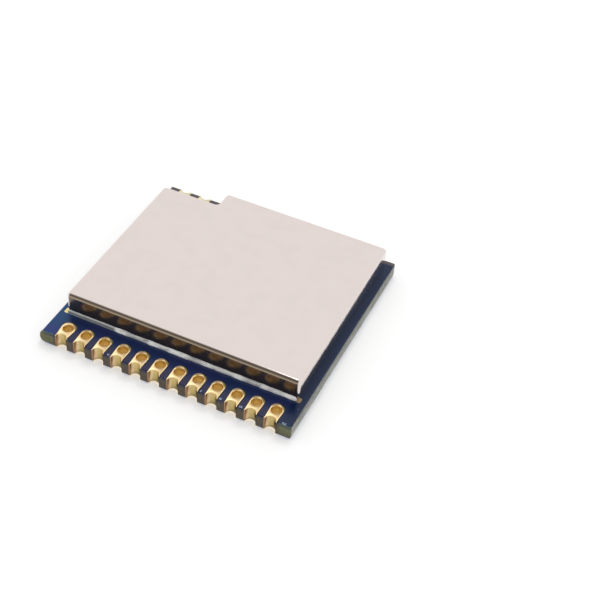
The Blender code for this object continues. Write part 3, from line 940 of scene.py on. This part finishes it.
def maskFinish():
    finish = Finish("blue_mask")
    x, y, z = finish.axes()
    aside = abs(x)
    patch = finish.noise(2.6, 3, 0.55)
    grain = finish.noise(0.10, 3, 0.6)
    dust = finish.node("TexVoronoi", None, {"Vector": finish.scaled(0.75), "Scale": 1.0})
    top = ease(z, 0.4, 0.6)
    under = 1 - top

    # copper under the mask tints it: bundles of tracks and the outlines of areas on the underside
    slant = x + ease(y, 4.5, 7.2) * 1.6
    copper = band(x, -6.8, -2.6) * band(y, -3.8, 0.0) * stripes(x, 0.48)
    copper = copper | band(slant, 6.2, 7.7, 0.1) * band(y, -4.5, 7.6, 0.1) * stripes(slant, 0.42)
    copper = copper | band(x, 0.9, 6.4, 0.3) * band(y, 7.2, 7.9, 0.1) * stripes(y, 0.34)
    for left, right, near, far, width in maskStyle["outlines"]:
        inner = band(x, left + width, right - width) * band(y, near + width, far - width)
        copper = copper | band(x, left, right) * band(y, near, far) * (1 - inner)
    tracks = copper * under

    # painted sheen: the mask's top is lighter along its left side and at its front left corner
    frontTint = mix(ease(x, -8.6, -8.95), maskStyle["front"], maskStyle["corner"])
    # painted shadow: the mask's top is darker on its strip right of the can
    tint = layered(maskStyle, "blue", (under, "under"),
                   (tracks * 0.75 + top * ease(patch, 0.42, 0.62) * 0.3, "purple"),
                   (top * ease(x, -8.3, -9.2), "light"), (top * ease(y, -8.3, -9.0) * 0.7, frontTint),
                   (top * ease(x, 8.7, 9.1), "right"), (top * ease(y, 9.0, 9.2), "back"))
    cloudy = finish.node("VectorMath", {"operation": "SCALE"}, {0: tint, "Scale": spread(patch, 0.86, 1.14)})
    # painted shade below the mask's top face: in its openings, on its rounded-over edges and in the via
    # dimples
    below = ease(z, 1.18, 1.10) * top + ease(z, 0.01, 0.06) * under * 1.3
    cutCorner = ease(z, 1.185, 1.165) * top * ease(aside, 8.8, 8.95) * ease(y, -9.36, -9.40)
    worn = (ease(abs(y), 9.34, 9.44) | ease(aside, 9.66, 9.76)) * ease(grain, 0.62, 0.70)
    specks = (1 - ease(dust, 0.03, 0.06)) * ease(patch, 0.5, 0.7)
    marks = worn * 0.4 | specks * 0.6
    # painted highlights on the top front edge of the mask between the pads
    glintEdge = ease(y, -9.29, -9.32) * ease(z, 1.17, 1.185) * ease(grain, 0.40, 0.50)
    glints = 0.0
    for place, reach in maskStyle["edgeGlints"]:
        glints = ease(abs(x - place), reach, reach * 0.6) + glints
    colour = layered(maskStyle, cloudy, (below * 0.7, "deep"), (cutCorner, "cutSide"),
                     (glints * glintEdge * 0.7, "chip"), (marks, "scuff"))
    rough = spread(grain, *maskStyle["roughness"]) + marks * 0.3
    relief = bump(grain + patch * 1.5, 0.006, 0.5, bump(tracks, 0.012, 0.6))
    return finish.shader(Base_Color=colour, Roughness=rough, Normal=relief, IOR=maskStyle["ior"],
                         Specular_Tint=maskStyle["sheen"])


laminateStyle = {
    "face": rgb(92, 88, 58),
    "front": rgb(82, 71, 57),
    "olive": rgb(106, 108, 75),
    "back": rgb(96, 101, 82),
    "backOlive": rgb(116, 126, 78),
    "brown": rgb(70, 58, 44),
    "side": rgb(170, 172, 164),
    "stain": rgb(34, 44, 66),
    "lint": rgb(205, 205, 200),
    "roughness": (0.5, 0.75),
}


def laminateFinish():
    finish = Finish("laminate")
    x, y, z = finish.axes()
    aside = abs(x)
    weave = finish.noise(0.5, 3, 0.6, 0.2, (0.35, 0.35, 6.0))
    fibres = finish.noise(0.12, 3, 0.65, 0, (1, 1, 0.25))
    patch = finish.noise(1.8, 2)
    front, atBack = ease(y, -9.3, -9.4), ease(y, 9.3, 9.4)
    corner = ease(aside, 8.75, 9.1) * front
    behind = mix(ease(x, -5.5, -6.5), laminateStyle["back"], laminateStyle["backOlive"])
    sides = ease(aside, 9.74, 9.79) * (1 - corner)
    streaky = 0.5 - corner * 0.25 - atBack * 0.3
    # mask that has run over the edge, and the openings' floor, which lies flat under the lands
    lip = ease(z + patch * 0.3, 0.95, 1.22) * (1 - sides * 0.6)
    inside = (1 - ease(aside, 9.70, 9.78)) * (1 - ease(abs(y), 9.42, 9.48))
    colour = layered(laminateStyle, "front", (corner, "olive"), (atBack, behind),
                     (sides * spread(patch, 0.5, 1.2), "side"), (ease(weave, 0.42, 0.62) * streaky, "brown"),
                     (ease(fibres, 0.55, 0.7) * (sides * 0.5 + 0.08), "lint"), (lip * 0.85, "stain"),
                     (ease(z, 0.60, 0.12) * 0.6 * front, "brown"), (inside, "face"))
    relief = bump(fibres + weave * 1.2, 0.02, 0.7)
    return finish.shader(Base_Color=colour, Roughness=spread(fibres, *laminateStyle["roughness"]),
                         Normal=relief)


goldStyle = {
    "land": rgb(248, 222, 174),
    "edge": rgb(222, 190, 128),
    "hole": rgb(244, 222, 150),
    "barrel": rgb(209, 187, 125),
    # painted pale reflection on the half-holes' left
    "pink": rgb(250, 220, 176),
    # painted shade on the half-holes' left rim
    "mouth": rgb(168, 132, 100),
    "shadedRim": rgb(104, 96, 44),
    "pinRow": -8.5,
    # painted shade deep in the plated holes
    "deepHole": rgb(214, 172, 100),
    "backLand": rgb(216, 205, 168),
    # painted dark reflection on the half-holes' right
    "olive": rgb(62, 54, 24),
    "tarnish": rgb(166, 120, 76),
    # painted shade towards the half-holes' foot
    "soot": rgb(92, 80, 46),
    "leftTab": rgb(226, 214, 150),
    "rightTab": rgb(132, 114, 92),
    "roughness": (0.40, 0.50),
    "barrelRoughness": 0.46,
    "holeRoughness": 0.40,
    "pitch": 1.5,
    "firstPin": -8.25,
}


def goldFinish():
    finish = Finish("gold_plate")
    x, y, z = finish.axes()
    patch = finish.noise(0.9, 3, 0.6)
    grain = finish.noise(0.07, 3, 0.6)
    drill = finish.noise(0.25, 3, 0.6, 0, (3.0, 3.0, 0.5))
    # how far a point is to the right of the nearest pin's middle
    turn = (x - goldStyle["firstPin"]) / goldStyle["pitch"]
    aside = (turn - turn.math("ROUND")) * goldStyle["pitch"]
    down = ease(z, 1.17, 1.10) * ease(z, 0.02, 0.09)
    pins = ease(y, -8.98, -9.06)
    atEdge = pins | ease(y, 8.95, 9.05)
    # painted dark reflection on the right of each half-hole, except close under the land
    darkReflection = ease(aside + patch * 0.2 - ease(z, 0.72, 1.0) * 0.16, 0.16, 0.36)
    shadier = spread(ease(aside, -0.15, 0.10), 0.6, 0.95)
    # the half-holes also carry a painted pale reflection on their left, painted shade on their left rim and
    # painted shade towards their foot, stronger on their right
    halfHole = layered(goldStyle, "barrel", (darkReflection * pins, "olive"),
                       (ease(aside + patch * 0.2, -0.06, -0.24) * atEdge, "pink"),
                       (ease(aside, -0.34, -0.40) * pins, "mouth"),
                       (ease(z + drill * 0.3, 0.70, 0.20) * shadier * atEdge, "soot"))
    # painted shade deeper down in the plated holes
    bore = layered(goldStyle, "hole", (ease(z, 0.95, 0.50) * 0.75, "deepHole"), (atEdge, halfHole))
    # the mask's edge shades the rim of each pin's land, away from the board's corner
    shaded = ease((aside + y - goldStyle["pinRow"]) * 0.707 + patch * 0.05, 0.40, 0.50)
    flat = layered(goldStyle, "land", (ease(patch, 0.45, 0.7) * 0.25, "edge"),
                   (shaded * ease(y, -7.6, -7.8) * 0.7, "shadedRim"))
    worn = ease(patch, 0.60, 0.80) * 0.2 + down * ease(drill, 0.52, 0.75) * 0.3
    beside = ease(abs(y - canBox[0].y), 0.6, 0.5)
    colour = layered(goldStyle, flat, (down, bore), (worn, "tarnish"),
                     (ease(y, 7.9, 8.1) * ease(z, 1.0, 1.15), "backLand"),
                     (beside * ease(x, -8.9, -9.0), "leftTab"),
                     (beside * ease(x, 8.9, 9.0) * spread(grain, 0.7, 1.1), "rightTab"))
    inner = goldStyle["holeRoughness"] * (1 - atEdge) + goldStyle["barrelRoughness"] * atEdge
    rough = spread(grain, *goldStyle["roughness"]) * (1 - down) + down * inner
    relief = bump(grain * 0.6 + patch + drill * down * 1.5, 0.01, 0.5)
    return finish.shader(Base_Color=colour, Metallic=1.0, Roughness=rough, Normal=relief)


sheetStyle = {
    "face": rgb(227, 216, 211),
    "dull": rgb(221, 210, 204),
    # painted reflections on the front wall and its bend
    "frontWall": rgb(124, 112, 104),
    "frontLine": rgb(160, 144, 124),
    "frontBend": rgb(112, 99, 88),
    "frontHaze": 0.07,
    "hazeRoughness": 0.08,
    "roughness": (0.10, 0.135),
}


def sheetFinish():
    finish = Finish("tinned_steel")
    x, y, z = finish.axes()
    wave = finish.noise(5.0, 2, 0.5)
    cloud = finish.noise(1.6, 4, 0.6)
    rolled = finish.noise(0.12, 3, 0.6, 0, (0.12, 1.0, 1.0))
    # painted reflections on the soldered front wall, away from its two corners: a dark line high on its bend,
    # a light line below that and a darker wall, which is also made a little less metallic and rougher
    fromLeft, fromRight, inward = x - canBox[0].x, canBox[1].x - x, y - canBox[0].y
    front = ease(inward, 0.30, 0.26) * ease(fromLeft, 0.16, 0.28) * ease(fromRight, 0.10, 0.18)
    colour = layered(sheetStyle, "face", (ease(cloud, 0.35, 0.8) * 0.5, "dull"),
                     (front * ease(inward, 0.25, 0.13), "frontBend"),
                     (front * ease(inward + cloud * 0.02, 0.09, 0.06), "frontLine"),
                     (front * ease(z + cloud * 0.03, 2.82, 2.78), "frontWall"))
    haze = front * ease(z, 2.82, 2.78)
    rough = spread(cloud, *sheetStyle["roughness"]) + ease(rolled, 0.55, 0.75) * 0.02
    relief = bump(wave * 1.2 + rolled * 0.03, 0.02, 0.2)
    ripple = bump(finish.noise(0.8, 2) * (1 - ease(z, 2.70, 2.95)), 0.02, 0.35, relief)
    return finish.shader(Base_Color=colour, Metallic=1 - haze * sheetStyle["frontHaze"],
                         Roughness=rough + haze * sheetStyle["hazeRoughness"], Normal=ripple)


solderStyle = {
    "bright": rgb(255, 255, 252),
    "grey": rgb(214, 215, 214),
    "dull": rgb(178, 182, 182),
    "dark": rgb(72, 74, 72),
    "roughness": (0.28, 0.42),
    # painted highlights on the front fillet: places along it, and how bright
    "highlightSpans": [
        (-9.0, 0.10), (-5.3, 0.08), (-5.1, 1.0), (-4.5, 0.95), (-4.2, 0.35), (-2.6, 0.25), (-2.4, 1.0),
        (-1.9, 1.0), (-1.6, 0.55), (-1.1, 0.45), (-0.9, 1.0), (0.6, 1.0), (0.9, 0.30), (1.7, 0.30),
        (2.0, 0.95), (2.3, 0.90), (2.7, 0.50), (4.1, 0.50), (4.5, 1.0), (4.9, 0.85), (5.3, 0.25),
        (6.2, 0.25), (6.5, 0.90), (7.0, 0.70), (8.0, 0.60), (8.4, 1.0), (8.7, 0.9), (9.2, 0.40),
    ],
    "spanReach": 10.0,
}


def solderFinish():
    finish = Finish("solder_metal")
    x, _, z = finish.axes()
    patch = finish.noise(0.9, 3, 0.6, 0, (1.0, 0.3, 0.3))
    grain = finish.noise(0.05, 2, 0.6)
    streaks = finish.noise(0.16, 3, 0.65, 0.3, (0.25, 1.0, 1.0))
    reach = solderStyle["spanReach"]
    stops = [((place + reach) / (2 * reach), (level, level, level, 1))
             for place, level in solderStyle["highlightSpans"]]
    along = (x + (patch - 0.5) * 0.7 + reach) / (2 * reach)
    # painted highlights: where the table is bright, the solder is white and not metallic
    highlightShare = finish.node("ValToRGB", {"stops": stops}, {0: along})
    lively = ease(x, -5.5, -4.9)
    middle = ease(z, 1.27, 1.32) * ease(z, 1.44, 1.39) * (1 - lively)
    ragged = z + (streaks - 0.5) * 0.25
    foot = ease(ragged, 1.28, 1.23) | ease(ragged, 1.42, 1.50)
    # darker in random streaks, along the fillet's lower and upper edges right of about x -5, and in a band
    # along the middle left of it; the painted highlights are weaker at the edges and streaks
    darkened = ease(streaks, 0.54, 0.62) * 0.5 | foot * lively * 0.6 | middle * 0.7
    highlightKept = (1 - foot * 0.35) * (1 - ease(streaks, 0.56, 0.64) * 0.5)
    colour = layered(solderStyle, "grey", ((1 - lively) * 0.85, "dull"), (darkened, "dark"),
                     (highlightShare * highlightKept, "bright"))
    relief = bump(patch + streaks * 0.5 + grain * 0.15, 0.04, 0.5)
    return finish.shader(Base_Color=colour, Metallic=0.6 - highlightShare * 0.6,
                         Roughness=spread(patch, *solderStyle["roughness"]), Normal=relief)


printColours = {
    "white": rgb(222, 216, 226),
    "thin": rgb(150, 158, 186),
    "pen": rgb(56, 52, 62),
    "penDark": rgb(34, 30, 42),
    "penBrown": rgb(72, 60, 58),
    "whiteRoughness": (0.45, 0.65),
    "penRoughness": (0.30, 0.5),
}


def paintFinish():
    finish = Finish("white_print")
    grain = finish.noise(0.12, 3, 0.6)
    patch = finish.noise(1.4, 2)
    colour = layered(printColours, "white", (ease(grain + patch * 0.3, 0.66, 0.82) * 0.6, "thin"))
    return finish.shader(Base_Color=colour, Roughness=spread(grain, *printColours["whiteRoughness"]),
                         Normal=bump(grain, 0.006, 0.6))


def penFinish():
    finish = Finish("felt_pen")
    strokes = finish.noise(0.4, 3, 0.6, 0.6, (1.0, 0.25, 1.0))
    patch = finish.noise(1.0, 2)
    colour = layered(printColours, "pen", (ease(strokes, 0.42, 0.62), "penDark"),
                     (ease(patch, 0.5, 0.75) * 0.6, "penBrown"))
    return finish.shader(Base_Color=colour, Roughness=spread(strokes, *printColours["penRoughness"]),
                         Normal=bump(strokes, 0.008, 0.6))


# parts under the can: their blocks' colours and metal ends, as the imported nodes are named
innerStyle = {
    "kinds": {
        "capacitor": (rgb(178, 146, 112), rgb(158, 124, 92)),
        "inductor": (rgb(196, 202, 208), rgb(170, 178, 186)),
        "resistor": (rgb(30, 30, 32), rgb(46, 44, 44)),
    },
    "end": 0.22,
    "tin": rgb(206, 208, 206),
    "resin": rgb(40, 40, 43),
    "resinSpeck": rgb(66, 66, 70),
    "lid": rgb(214, 206, 186),
    "lidDull": rgb(190, 180, 160),
    "lidHeight": 0.25,
    "ceramic": rgb(176, 168, 150),
    "footHeight": 0.2,
}


def smallPartFinish(kind, node):
    finish = Finish(kind + "_" + node)
    x = finish.axes()[0]
    low, high = boxOf(node)
    start = (high.x - low.x) / 2 - innerStyle["end"]
    first, second = innerStyle["kinds"][kind]
    grain = finish.noise(0.05, 3, 0.6)
    patch = finish.noise(0.4, 2)
    cap = ease(abs(x - (low.x + high.x) / 2), start - 0.01, start + 0.01)
    colour = layered(innerStyle, first, (patch * 0.6 + grain * 0.4, second), (cap, "tin"))
    return finish.shader(Base_Color=colour, Metallic=cap, Roughness=spread(grain, 0.45, 0.6) - cap * 0.2,
                         Normal=bump(grain + patch * 0.4, 0.006, 0.6))


def resinFinish():
    finish = Finish("moulded_resin")
    z = finish.axes()[2]
    grain = finish.noise(0.06, 3, 0.65)
    patch = finish.noise(1.2, 2)
    footTop = boardHigh.z + innerStyle["footHeight"]
    foot = ease(z, footTop + 0.05, footTop)
    colour = layered(innerStyle, "resin", (ease(grain, 0.5, 0.7) * 0.5 + patch * 0.2, "resinSpeck"),
                     (foot, "tin"))
    return finish.shader(Base_Color=colour, Metallic=foot, Roughness=spread(grain, 0.55, 0.75) - foot * 0.3,
                         Normal=bump(grain, 0.008, 0.7))


def crystalFinish(node):
    finish = Finish("satin_lid")
    z = finish.axes()[2]
    rim = boxOf(node)[1].z - innerStyle["lidHeight"]
    brushed = finish.noise(0.3, 3, 0.6, 0, (0.15, 2.5, 1.0))
    lid = ease(z, rim - 0.02, rim + 0.02)
    satin = mix(brushed, innerStyle["lidDull"], innerStyle["lid"])
    rough = spread(brushed, 0.30, 0.42) + (1 - lid) * 0.2
    return finish.shader(Base_Color=mix(lid, innerStyle["ceramic"], satin), Metallic=lid, Roughness=rough,
                         Normal=bump(brushed, 0.006, 0.5))


def finishInnerParts():
    resin = resinFinish()
    for name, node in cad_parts.items():
        kind = name.split("_")[0]
        if kind in innerStyle["kinds"]:
            node.material_slots[0].material = smallPartFinish(kind, name)
        elif kind == "crystal":
            node.material_slots[0].material = crystalFinish(name)
        elif name in ("transceiver", "antenna_switch"):
            node.material_slots[0].material = resin


mask = maskFinish()
laminate = laminateFinish()
gold = goldFinish()
sheet = sheetFinish()
solder = solderFinish()
paint = paintFinish()
pen = penFinish()
finishInnerParts()
print("finishes mixed")

buildBoard(laminate, mask)
buildRoughEdge("right_edge", 1, laminate)
buildRoughEdge("left_edge", -1, laminate)
buildStub(laminate)
print("board cut, with its openings, holes and slots")
buildPads(gold)
buildLand(gold)
print("pads and land plated")
buildCan(sheet)
buildFillet("front_fillet", "front_solder", -1, frontSwell, solder)
buildFillet("back_fillet", "back_solder", 1, backSwell, solder)
print("can folded and soldered")
buildTable(paint)
buildNumbers(paint)
buildPenMark(pen)
print("underside printed")


# floor, lamp and world

stageStyle = {
    "floorSize": 0.6,
    "floorDrop": 0.1,
    "floorColour": (0.86, 0.86, 0.86, 1.0),
    "floorGlow": 0.28,             # the camera sees this on top of the floor's own light, so that it is white
    "throughLength": 0.0006,       # light that leaves the underside passes the floor within this distance
    "worldLevel": 0.80,
    "darkDirection": (0.0, -0.80, 0.60),
    "darkAngles": (55, 20),        # the dark card's soft edge and its full dark, in degrees from its middle
    "darkLevel": 0.5,
    "lampPower": 0.03,
    "lampSize": 0.045,
    "lampPlace": (-0.013, 0.066, 0.158),
}

rayOutputs = {"camera": 0, "glossy": 3, "through": 6, "length": 8}     # of the light path node


def raysOf(finish, *names):
    return [finish.node("LightPath", output=rayOutputs[name]) for name in names]


def makeFloor():
    work = bmesh.new()
    bmesh.ops.create_grid(work, x_segments=1, y_segments=1, size=stageStyle["floorSize"])
    floor = pieceFrom(work, "floor")
    floor.location.z = -stageStyle["floorDrop"] * metresPerUnit
    finish = Finish("pale_floor")
    camera, glossy, through, length = raysOf(finish, "camera", "glossy", "through", "length")
    paint = finish.node("BsdfDiffuse", None, {"Color": stageStyle["floorColour"]})
    glow = finish.node("Emission", None, {"Color": (1, 1, 1, 1), "Strength": stageStyle["floorGlow"]})
    lit = finish.node("AddShader", None, {0: paint, 1: glow})
    seen = finish.node("MixShader", None, {0: camera | glossy | through, 1: paint, 2: lit})
    behind = finish.node("NewGeometry", output=6)
    clear = finish.node("BsdfTransparent")
    passed = behind | (length < stageStyle["throughLength"])
    surface = finish.node("MixShader", None, {0: passed, 1: seen, 2: clear})
    finish.node("OutputMaterial", None, {"Surface": surface})
    floor.data.materials.append(finish.made)


def makeWorld():
    finish = Finish("studio", world=True)
    camera, glossy, through = raysOf(finish, "camera", "glossy", "through")
    direction = finish.node("TexCoord", output=0)
    towards = Vector(stageStyle["darkDirection"]).normalized()
    facing = finish.node("VectorMath", {"operation": "DOT_PRODUCT"}, {0: direction, 1: towards}, 1)
    dark = ease(facing, *[cos(radians(angle)) for angle in stageStyle["darkAngles"]])
    level = 1 - dark * (1 - stageStyle["darkLevel"])
    shown = glossy | through
    light = shown * level + (1 - shown) * stageStyle["worldLevel"]
    strength = light * (1 - camera) + camera
    background = finish.node("Background", None, {"Color": (1, 1, 1, 1), "Strength": strength})
    finish.node("OutputWorld", None, {"Surface": background})
    bpy.context.scene.world = finish.made


def makeLamp():
    light = bpy.data.lights.new("soft_lamp", "AREA")
    light.shape = "DISK"
    light.size = stageStyle["lampSize"]
    light.energy = stageStyle["lampPower"]
    lamp = linked("soft_lamp", light)
    lamp.location = stageStyle["lampPlace"]
    lamp.rotation_euler = (-lamp.location).to_track_quat("-Z", "Y").to_euler()


makeFloor()
makeWorld()
makeLamp()
bpy.context.scene.view_settings.view_transform = "Standard"
print("stage lit")
